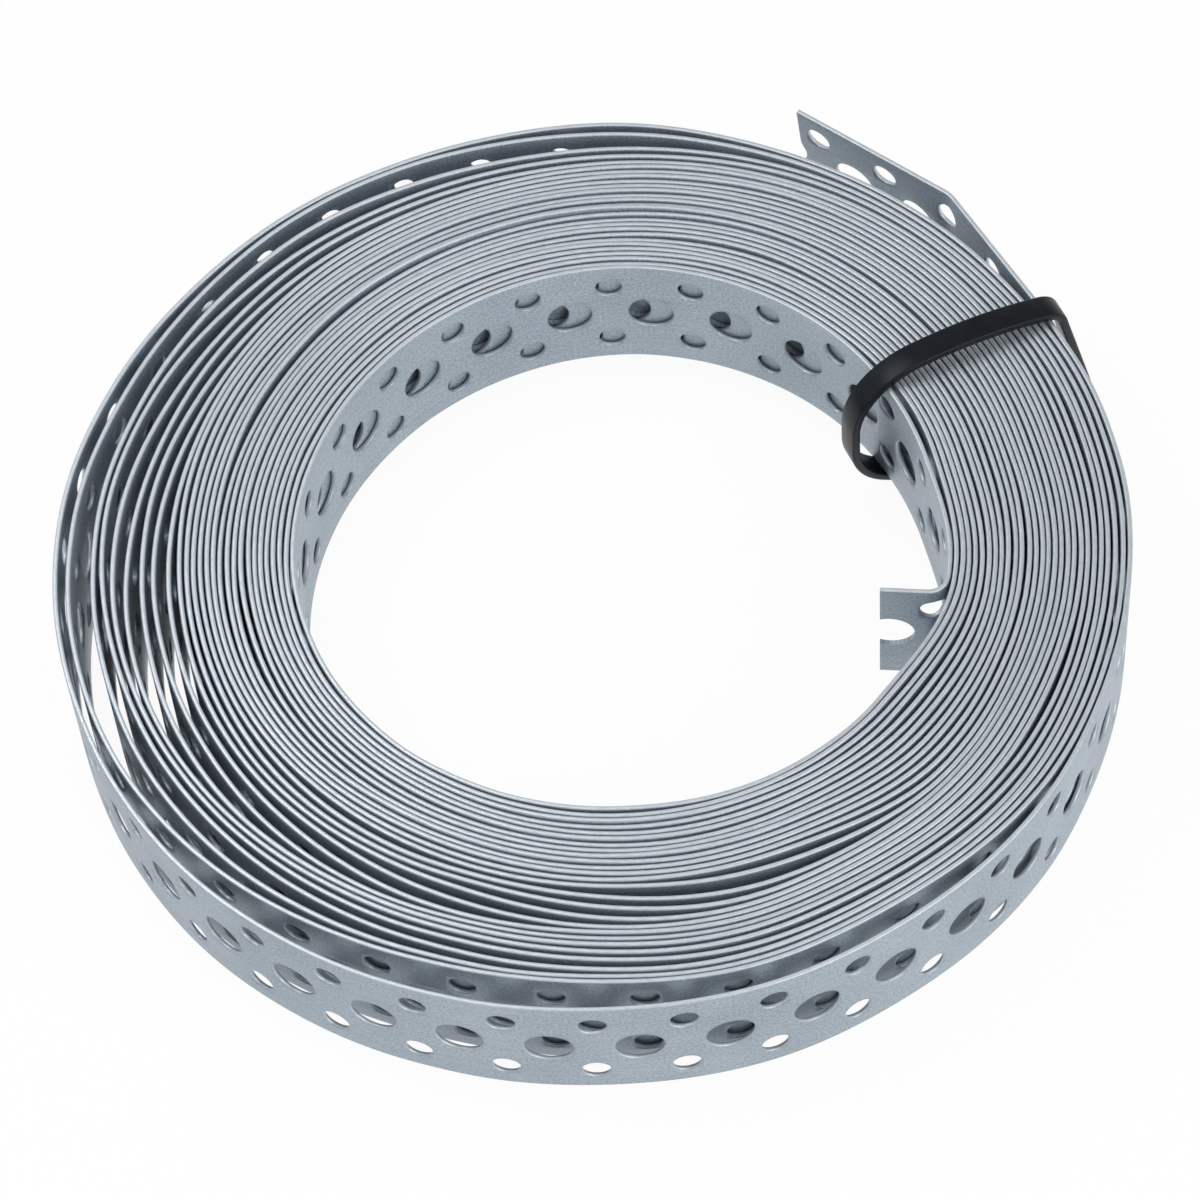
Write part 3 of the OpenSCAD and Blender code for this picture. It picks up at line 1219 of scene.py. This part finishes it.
@dataclass
class PerforatedStrap:
    """The strap: a continuous perforated strip, wound up and cut into pieces under the tie.

    Attributes:
        winding: Plan of the roll.
        pattern: Holes of the strap.
        finish: Its finish.
        thickness: Thickness of the bare metal, in millimetres.
        bottom: Height of its lower edge.
        smooth_to: Angle in degrees up to which its edges are shaded smooth.
        stretches: Pieces from the inner end to the outer.
    """

    winding: Winding = field(default_factory=Winding)
    pattern: HolePattern = field(default_factory=HolePattern)
    finish: GalvanisedSteel = field(default_factory=GalvanisedSteel)
    thickness: float = 0.66
    bottom: float = ROLL_BOTTOM
    smooth_to: float = 50.0
    stretches: tuple[Stretch, ...] = (
        Stretch("strap_inner_end", 2, Detail.FINE),
        Stretch("strap_tight_inner", 9, Detail.COARSE),
        Stretch("strap_tight_outer", 16, Detail.COARSE),
        Stretch("strap_loose_inner", 22, Detail.PLAIN),
        Stretch("strap_loose_outer", 26, Detail.CLEAR),
        Stretch("strap_outer_end", 27, Detail.FINE),
    )

    def stretch_face(
        self, first: int, last: int, whole: int, detail: Detail
    ) -> tuple[Patch, Array | None, Array | None]:
        """Flat face of the pitches from first up to last, with the cuts it reaches.

        Args:
            first: Number of the first pitch.
            last: Number after the last pitch.
            whole: Number of the last pitch of the strap.
            detail: How finely it is divided.

        Returns:
            The face, and the points of the inner and the outer cut, if it reaches them.
        """
        cell = self.pattern.cell(detail)
        at = self.pattern.at(np.arange(max(first, 1), last))
        parts, start, stop = [cell.repeated(at)], None, None
        if first == 0:
            opened, start = self.pattern.inner_cell(detail)
            shift = np.array([self.pattern.inner_cut, 0.0])
            parts.append(opened.repeated(shift[:1]))
            start = start + shift
        if last > whole:
            length = self.pattern.at(whole + 0.5) + self.pattern.outer_cut
            strip, stop = self.pattern.outer_strip(detail)
            strip.points[:, 0] += length
            stop = stop + np.array([length, 0.0])
            parts.append(strip)
        return Patch.joined(parts).welded(), start, stop

    def build(self) -> list[Piece]:
        """Builds and dresses every stretch.

        Returns:
            The pieces, from the inner end to the outer.
        """
        path, whole = self.winding.marked(self.pattern)
        LOG.info("strap: %.0f mm, %d large holes", path.length[-1], whole + 1)
        skin = StrapSkin(self.pattern, self.thickness)
        material = self.finish.material()
        top = self.bottom + self.pattern.width
        middle = self.bottom + self.pattern.width / 2
        pieces, first = [], 0
        for stretch in self.stretches:
            last = whole + 1
            if stretch is not self.stretches[-1]:
                reach = self.winding.length_at(stretch.last_turn, self.winding.tie_angle, path)
                flat = np.interp(reach, path.path_marks, path.flat_marks)
                last = round((flat - self.pattern.inner_cut) / self.pattern.pitch)
            face, start, stop = self.stretch_face(first, last, whole, stretch.detail)
            shell = skin.closed(face, stretch.detail, start, stop)
            points = path.place(shell.along, shell.height + middle, shell.out, top)
            piece = skin_object(stretch.name, points * MM, shell.quads, self.smooth_to)
            self.lay_coordinates(piece, shell)
            pieces.append(finished(piece, "strap", material))
            first = last
        return pieces

    @staticmethod
    def lay_coordinates(piece: Piece, shell: Shell) -> None:
        """Stores length and height, in the UV map's unit, as the UV map, and the share of the crown.

        On the rounded edge the distance out is added to the height, so that streaks run along it.

        Args:
            piece: The piece.
            shell: Its skin.
        """
        mesh = piece.data
        corner = np.empty(len(mesh.loops), dtype=np.int32)
        mesh.loops.foreach_get("vertex_index", corner)
        across = shell.height + np.where(shell.edge > 0, shell.out, 0.0)
        flat = np.stack([shell.along, across], axis=1)[corner] / UV_UNIT
        mesh.uv_layers.new(name=STRAP_UV).data.foreach_set("uv", flat.astype(np.float32).ravel())
        share = mesh.attributes.new(EDGE_SHARE, "FLOAT", "POINT")
        share.data.foreach_set("value", shell.edge.astype(np.float32))


@dataclass
class CableTie:
    """Cable tie round the section of the roll: a smooth arched band and the head under the roll.

    Lengths are in millimetres; distances along the section are from the bore's axis.

    Attributes:
        finish: Its finish.
        axis: Axis of the bore.
        angle: Angle in plan of the section that it goes round.
        skew: Angle by which it is turned from that section, about the section's middle.
        width: Width of the band.
        thickness: Thickness of the band.
        bore_r: Distance of the roll's inner side, edge_r of its outer side, middle_r of its middle.
        bottom: Height of the roll's underside, and top of its upper side.
        bore_slack: Room between band and roll in the bore, and outer_slack on the outer side.
        lean: Distance that the foot of the outer side stands further out.
        arch_r: Radius of the arch over the roll.
        bore_turn: Radius of both turns in the bore.
        outer_turn: Radius of the upper turn on the outer side, and foot_turn of the lower one.
        clear: Room between the band and the roll's upper corners.
        edge_round: Radius of the band's own edges.
        arc_steps: Points round each arc of the loop.
        corner_steps: Points round each corner of the band's section and of the head.
        head_l: Length of the head, head_w its width and head_r the radius of its corners.
        head_soft: Height and depth of its rounded lower and upper edges.
        slit_t: Length of the slit, slit_w its width, slit_r its corners, slit_depth its depth.
        tip: Half the size of the small square that closes the head's skin at its ends.
        smooth_to: Angle in degrees up to which edges are shaded smooth.
    """

    finish: BlackNylon = field(default_factory=BlackNylon)
    axis: tuple[float, float] = BORE_AXIS
    angle: float = TIE_ANGLE
    skew: float = -6.0
    width: float = 3.6
    thickness: float = 1.2
    bore_r: float = 41.3
    edge_r: float = 65.6
    middle_r: float = 53.14
    bottom: float = ROLL_BOTTOM
    top: float = ROLL_BOTTOM + STRAP_W
    bore_slack: float = 4.2
    outer_slack: float = 1.1
    lean: float = 4.2
    arch_r: float = 52.0
    bore_turn: float = 10.0
    outer_turn: float = 2.6
    foot_turn: float = 2.4
    clear: float = 0.05
    edge_round: float = 0.32
    arc_steps: int = 24
    corner_steps: tuple[int, int] = (4, 5)
    head_l: float = 6.4
    head_w: float = 7.6
    head_r: float = 0.8
    head_soft: tuple[float, float] = (0.1, 0.4)
    slit_t: float = 1.8
    slit_w: float = 4.0
    slit_r: float = 0.2
    slit_depth: float = 0.7
    tip: float = 0.02
    smooth_to: float = 40.0

    def place(self, along: Array, across: Array, height: Array) -> Array:
        """Carries points of the tie's own section plane to the part's frame.

        The section stands along the tie's angle, turned by its skew about its middle.

        Args:
            along: Distance from the bore's axis.
            across: Distance across the band.
            height: Height.

        Returns:
            Points in metres.
        """
        middle = np.array(self.axis) + self.middle_r * heading(self.angle)
        run = heading(self.angle + self.skew)
        side = heading(self.angle + self.skew + 90)
        plan = middle + (along - self.middle_r)[..., None] * run + across[..., None] * side
        return np.concatenate([plan, height[..., None]], axis=-1).reshape(-1, 3) * MM

    def turn_middle(self, x: float, radius: float, stand_off: float) -> Array:
        """Middle of an upper turn of the band that just clears the roll's corner.

        Args:
            x: Distance of the middle from the bore's axis.
            radius: Radius of the turn inside the band.
            stand_off: Distance of the band from the side of the roll.

        Returns:
            The middle as distance and height.
        """
        below = math.sqrt(radius**2 - (stand_off - radius) ** 2)
        return np.array([x, self.top + self.clear - below])

    def loop(self) -> tuple[Array, Array]:
        """Mid line of the band: five arcs that run into each other, closed.

        The arch runs into both upper turns from inside, so its middle lies at the difference of
        the radii from each of theirs. The outer side is the line that touches both its turns.

        Returns:
            Points as distance and height, and outward directions.
        """
        near, far = self.bore_r - self.bore_slack, self.edge_r + self.outer_slack
        bore_top = self.turn_middle(near + self.bore_turn, self.bore_turn, self.bore_slack)
        outer_top = self.turn_middle(far - self.outer_turn, self.outer_turn, self.outer_slack)
        bore_foot = np.array([bore_top[0], self.bottom + self.top - bore_top[1]])
        foot = np.array([far + self.lean - self.foot_turn, self.bottom + self.foot_turn / 2])
        span = outer_top - bore_top
        to_bore, to_outer = self.arch_r - self.bore_turn, self.arch_r - self.outer_turn
        reach = math.hypot(*span)
        along = (to_bore**2 - to_outer**2 + reach**2) / (2 * reach)
        below = math.sqrt(to_bore**2 - along**2)
        arch = bore_top + (along * span + below * np.array([span[1], -span[0]])) / reach
        from_bore, from_outer, side = (
            math.atan2(*(end - middle)[::-1])
            for end, middle in ((bore_top, arch), (outer_top, arch), (outer_top, foot))
        )
        apart = math.dist(outer_top, foot)
        lean = side - math.acos((self.foot_turn - self.outer_turn) / apart)
        from_bore, from_outer, lean = np.degrees([from_bore, from_outer, lean])
        arcs = (
            (bore_foot, self.bore_turn, 180, 270),
            (foot, self.foot_turn, 270, 360 + lean),
            (outer_top, self.outer_turn, lean, from_outer),
            (arch, self.arch_r, from_outer, from_bore),
            (bore_top, self.bore_turn, from_bore, 180),
        )
        points, outs = [], []
        for middle, radius, first, last in arcs:
            turn = heading(np.linspace(first, last, self.arc_steps))
            line = middle + (radius + self.thickness / 2) * turn
            shared = int(bool(points) and np.allclose(line[0], points[-1][-1]))
            points.append(line[shared:])
            outs.append(turn[shared:])
        return np.concatenate(points), np.concatenate(outs)

    @staticmethod
    def rounded(half_x: float, half_y: float, radius: float, steps: int) -> Array:
        """Rectangle with rounded corners: a quarter of a circle at each corner.

        Args:
            half_x: Half its size along the first axis.
            half_y: Half its size along the second axis.
            radius: Radius of its corners, limited by half its size.
            steps: Points round each corner.

        Returns:
            Points in the plane, anticlockwise.
        """
        radius = min(radius, half_x, half_y)
        signs = np.array([[1, 1], [-1, 1], [-1, -1], [1, -1]])[:, None]
        turns = heading(np.linspace(0, 90, steps)[None] + 90 * np.arange(4)[:, None])
        return (signs * np.array([half_x - radius, half_y - radius]) + radius * turns).reshape(-1, 2)

    def band(self) -> tuple[Array, Array]:
        """Band: its section carried round the loop.

        Returns:
            Points in metres, and quads.
        """
        line, out = self.loop()
        section = self.rounded(self.width / 2, self.thickness / 2, self.edge_round, self.corner_steps[0])
        along = line[:, None, 0] + section[None, :, 1] * out[:, None, 0]
        height = line[:, None, 1] + section[None, :, 1] * out[:, None, 1]
        across = np.broadcast_to(section[None, :, 0], along.shape)
        number = np.arange(along.size).reshape(along.shape)
        right = np.roll(number, -1, axis=1)
        quads = np.stack([number, np.roll(number, -1, axis=0), np.roll(right, -1, axis=0), right], axis=-1)
        return self.place(along, across, height), quads.reshape(-1, 4)

    def head(self) -> tuple[Array, Array]:
        """Head: rings of a rounded rectangle carried down to its foot, then into the slit.

        Returns:
            Points in metres, and quads.
        """
        foot, roof = 0.0, self.bottom - self.thickness / 2
        half_l, half_w, r = self.head_l / 2, self.head_w / 2, self.head_r
        slit = self.slit_t / 2, self.slit_w / 2, self.slit_r
        tip = (self.tip,) * 3
        low, soft = self.head_soft
        rings = (
            (*tip, roof),
            (half_l - r, half_w - r, r, roof),
            (half_l, half_w, r, roof - soft),
            (half_l, half_w, r, foot + soft),
            (half_l - low, half_w - low, r, foot + low),
            (half_l - soft, half_w - soft, r, foot),
            (*slit, foot),
            (*slit, foot + self.slit_depth),
            (*tip, foot + self.slit_depth),
        )
        levels = []
        for *sizes, height in rings:
            flat = self.rounded(*sizes, self.corner_steps[1])
            levels.append(np.column_stack([flat, np.full(len(flat), height)]))
        grid = np.array(levels)
        number = np.arange(grid[..., 0].size).reshape(grid.shape[:2])
        below, after = number[1:], np.roll(number, -1, axis=1)
        quads = np.stack([number[:-1], below, np.roll(below, -1, axis=1), after[:-1]], axis=-1)
        return self.place(grid[..., 0] + self.middle_r, grid[..., 1], grid[..., 2]), quads.reshape(-1, 4)

    def build(self) -> list[Piece]:
        """Builds and dresses the band and the head.

        Returns:
            The two pieces.
        """
        material = self.finish.material()
        pieces = []
        for name, (points, quads) in (("tie_band", self.band()), ("tie_head", self.head())):
            piece = skin_object(name, points, quads, self.smooth_to)
            pieces.append(finished(piece, "cable_tie", material))
        return pieces


@dataclass(frozen=True)
class Lamp:
    """Square soft lamp that faces the middle of the part.

    Attributes:
        name: Name of the lamp.
        at: Where it hangs, in metres.
        size: Length of its side, in metres.
        power: Its power in watts.
    """

    name: str
    at: Vector3
    size: float
    power: float

    def hang(self) -> None:
        """Puts the lamp into the scene, with its face turned to the origin."""
        light = bpy.data.lights.new(self.name, "AREA")
        light.size = self.size
        light.energy = self.power
        made = bpy.data.objects.new(self.name, light)
        made.location = self.at
        made.rotation_euler = Vector(self.at).to_track_quat("Z", "Y").to_euler()
        bpy.context.scene.collection.objects.link(made)


@dataclass
class Studio:
    """Pale floor under the tilted roll, soft white room, two large lamps and the camera.

    Attributes:
        axis: Axis of the bore.
        lean_angle: Angle in plan of the line from the far rim to the tie's head.
        head_q: Distance of the head's outer foot from the axis along that line.
        rim_q: Distance of the far rim from the axis on the other side.
        rim_z: Height of the far rim, in the part's frame.
        floor_half: Half the floor's size, in metres.
        floor_gap: Room under the part.
        floor_colour: Colour of the floor.
        floor_glow: Share of plain white in the floor where it is seen.
        camera_at: Place of the camera, with camera_right and camera_up its own axes.
        lens: Focal length, and sensor the sensor's width.
        wall_level: Light of the walls at floor height.
        cornice_level: Light at the cornice, whose height is a share of straight up.
        ceiling_level: Light straight above.
        lamps: The lamps.
    """

    axis: tuple[float, float] = BORE_AXIS
    lean_angle: float = TIE_ANGLE
    head_q: float = 49.9
    rim_q: float = 74.4
    rim_z: float = ROLL_BOTTOM
    floor_half: float = 3.0
    floor_gap: float = 0.05
    floor_colour: Colour = (0.93, 0.93, 0.93, 1.0)
    floor_glow: float = 0.94
    camera_at: Vector3 = (221.54, -255.79, 540.92)
    camera_right: Vector3 = (0.80194, 0.59541, -0.04893)
    camera_up: Vector3 = (-0.48223, 0.69349, 0.53529)
    lens: float = 143.34
    sensor: float = 36.0
    wall_level: float = 1.0
    cornice_level: float = 0.4
    cornice_height: float = 0.75
    ceiling_level: float = 0.64
    lamps: tuple[Lamp, ...] = (
        Lamp("key_lamp", (-0.131, -0.047, 0.28), 0.16, 0.34),
        Lamp("fill_lamp", (0.51, -0.03, 0.35), 0.5, 1.8),
    )

    def floor(self) -> Piece:
        """Floor: the plane under the head of the tie and the far lower rim of the roll.

        Its height falls evenly from the rim's to the head's along the line between them.

        Returns:
            The floor.
        """
        slope = self.rim_z / (self.head_q + self.rim_q)
        side = np.array([-1.0, 1.0]) * self.floor_half
        x, y = np.meshgrid(side, side)
        q = (np.stack([x, y], axis=-1) / MM - np.array(self.axis)) @ heading(self.lean_angle)
        z = (slope * (self.head_q - q) - self.floor_gap) * MM
        corners = np.stack([x, y, z], axis=-1).reshape(-1, 3)
        made = skin_object("floor", corners, np.array([[0, 1, 3, 2]]))
        material = bpy.data.materials.new("pale_floor")
        material.use_nodes = True
        graph = Graph(material.node_tree)
        matte = graph.add("BsdfDiffuse", {"Color": self.floor_colour})
        glow = graph.add("Emission", {"Color": WHITE, "Strength": 1.0})
        rays = graph.add("LightPath").outputs
        seen = graph.add("Math", {0: rays["Is Camera Ray"], 1: rays["Is Glossy Ray"]})
        seen = graph.add("Math", {0: seen.outputs[0], 1: rays["Is Transmission Ray"]}, use_clamp=True)
        share = graph.add("Math", {0: seen.outputs[0], 1: self.floor_glow}, operation="MULTIPLY")
        mixed = graph.add("MixShader", {0: share.outputs[0], 1: matte.outputs[0], 2: glow.outputs[0]})
        graph.add("OutputMaterial", {"Surface": mixed.outputs[0]})
        made.data.materials.append(material)
        return made

    def room(self) -> None:
        """White room: its light falls evenly from the walls to the cornice and rises to the ceiling."""
        world = bpy.data.worlds.new("white_room")
        bpy.context.scene.world = world
        world.use_nodes = True
        graph = Graph(world.node_tree)
        up = graph.add("SeparateXYZ", {0: graph.add("TexCoord").outputs["Generated"]}).outputs[2]
        wall = graph.spread(up, (0.0, self.cornice_height), (self.wall_level, self.cornice_level))
        rise = self.ceiling_level - self.cornice_level
        ceiling = graph.spread(up, (self.cornice_height, 1.0), (0.0, rise))
        level = graph.add("Math", {0: wall, 1: ceiling}).outputs[0]
        back = graph.add("Background", {"Color": WHITE, "Strength": level})
        graph.add("OutputWorld", {"Surface": back.outputs[0]})

    def camera(self) -> None:
        """Camera fitted to the photograph's view."""
        data = bpy.data.cameras.new("camera")
        data.lens, data.sensor_width = self.lens, self.sensor
        right, up = Vector(self.camera_right).normalized(), Vector(self.camera_up).normalized()
        back = right.cross(up).normalized()
        made = bpy.data.objects.new("camera", data)
        turned = Matrix((right, up, back)).transposed().to_4x4()
        made.matrix_world = Matrix.Translation(Vector(self.camera_at) * MM) @ turned
        bpy.context.scene.collection.objects.link(made)
        bpy.context.scene.camera = made

    def build(self) -> None:
        """Sets the whole stage."""
        self.camera()
        self.floor()
        self.room()
        for lamp in self.lamps:
            lamp.hang()
        bpy.context.scene.view_settings.view_transform = "Standard"


def main() -> None:
    """Builds the strap, the cable tie and the stage, and reports each piece."""
    logging.basicConfig(level=logging.INFO, format="%(message)s")
    Studio().build()
    PerforatedStrap().build()
    CableTie().build()


if __name__ == "__main__":
    main()
